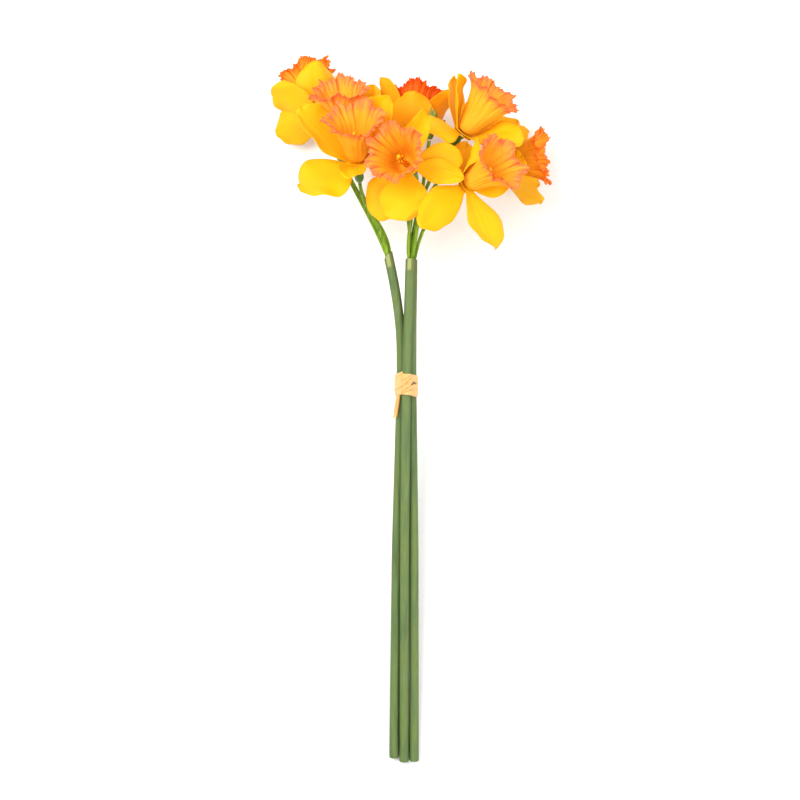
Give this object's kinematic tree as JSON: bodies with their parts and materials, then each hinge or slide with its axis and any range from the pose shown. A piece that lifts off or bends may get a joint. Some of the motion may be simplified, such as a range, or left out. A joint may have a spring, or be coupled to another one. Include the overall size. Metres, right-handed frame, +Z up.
{
  "type": "tied daffodil flower bunch",
  "caption": "Tied bunch of yellow trumpet daffodils with frilled orange cups on hollow green stems, bound with flat raffia and lying down.",
  "frame": {"origin": "bottom centre of the whole bunch's box, on the surface that it lies on", "axes": "+Y along the stems from the cut ends to the flowers, +Z up from the surface, +X across the bunch"},
  "size_m": [0.1818, 0.4594, 0.1217],
  "materials": {
    "stem_green": "moulded, matte, faint lengthwise ridges",
    "pedicel_green": "thin flexible stalk, matte",
    "ovary_green": "moulded, satin",
    "tepal_gold": "thin formed fabric petal, soft matte",
    "tepal_yellow": "thin formed fabric petal, soft matte",
    "corona_orange": "pleated and frilled, yellow throat running to an orange rim",
    "stamen_yellow": "moulded, powdery",
    "raffia_straw": "flat pale raffia, creased"
  },
  "bodies": {
    "root": {"left_stem": "stem_green", "middle_stem": "stem_green", "right_stem": "stem_green", "far_left_outer_tepals": "tepal_gold", "far_left_inner_tepals": "tepal_yellow", "far_left_corona": "corona_orange", "far_left_stamens": "stamen_yellow", "far_left_ovary": "ovary_green", "far_left_pedicel": "pedicel_green", "back_left_outer_tepals": "tepal_gold", "back_left_inner_tepals": "tepal_yellow", "back_left_corona": "corona_orange", "back_left_stamens": "stamen_yellow", "back_left_ovary": "ovary_green", "back_left_pedicel": "pedicel_green", "front_left_outer_tepals": "tepal_gold", "front_left_inner_tepals": "tepal_yellow", "front_left_corona": "corona_orange", "front_left_stamens": "stamen_yellow", "front_left_ovary": "ovary_green", "front_left_pedicel": "pedicel_green", "front_centre_outer_tepals": "tepal_gold", "front_centre_inner_tepals": "tepal_yellow", "front_centre_corona": "corona_orange", "front_centre_stamens": "stamen_yellow", "front_centre_ovary": "ovary_green", "front_centre_pedicel": "pedicel_green", "back_centre_outer_tepals": "tepal_gold", "back_centre_inner_tepals": "tepal_yellow", "back_centre_corona": "corona_orange", "back_centre_stamens": "stamen_yellow", "back_centre_ovary": "ovary_green", "back_centre_pedicel": "pedicel_green", "top_right_outer_tepals": "tepal_gold", "top_right_inner_tepals": "tepal_yellow", "top_right_corona": "corona_orange", "top_right_stamens": "stamen_yellow", "top_right_ovary": "ovary_green", "top_right_pedicel": "pedicel_green", "front_right_outer_tepals": "tepal_gold", "front_right_inner_tepals": "tepal_yellow", "front_right_corona": "corona_orange", "front_right_stamens": "stamen_yellow", "front_right_ovary": "ovary_green", "front_right_pedicel": "pedicel_green", "far_right_outer_tepals": "tepal_gold", "far_right_inner_tepals": "tepal_yellow", "far_right_corona": "corona_orange", "far_right_stamens": "stamen_yellow", "far_right_ovary": "ovary_green", "far_right_pedicel": "pedicel_green", "green_bud": "ovary_green", "bud_pedicel": "pedicel_green", "raffia_band": "raffia_straw", "raffia_tail": "raffia_straw"}
  },
  "joints": []
}
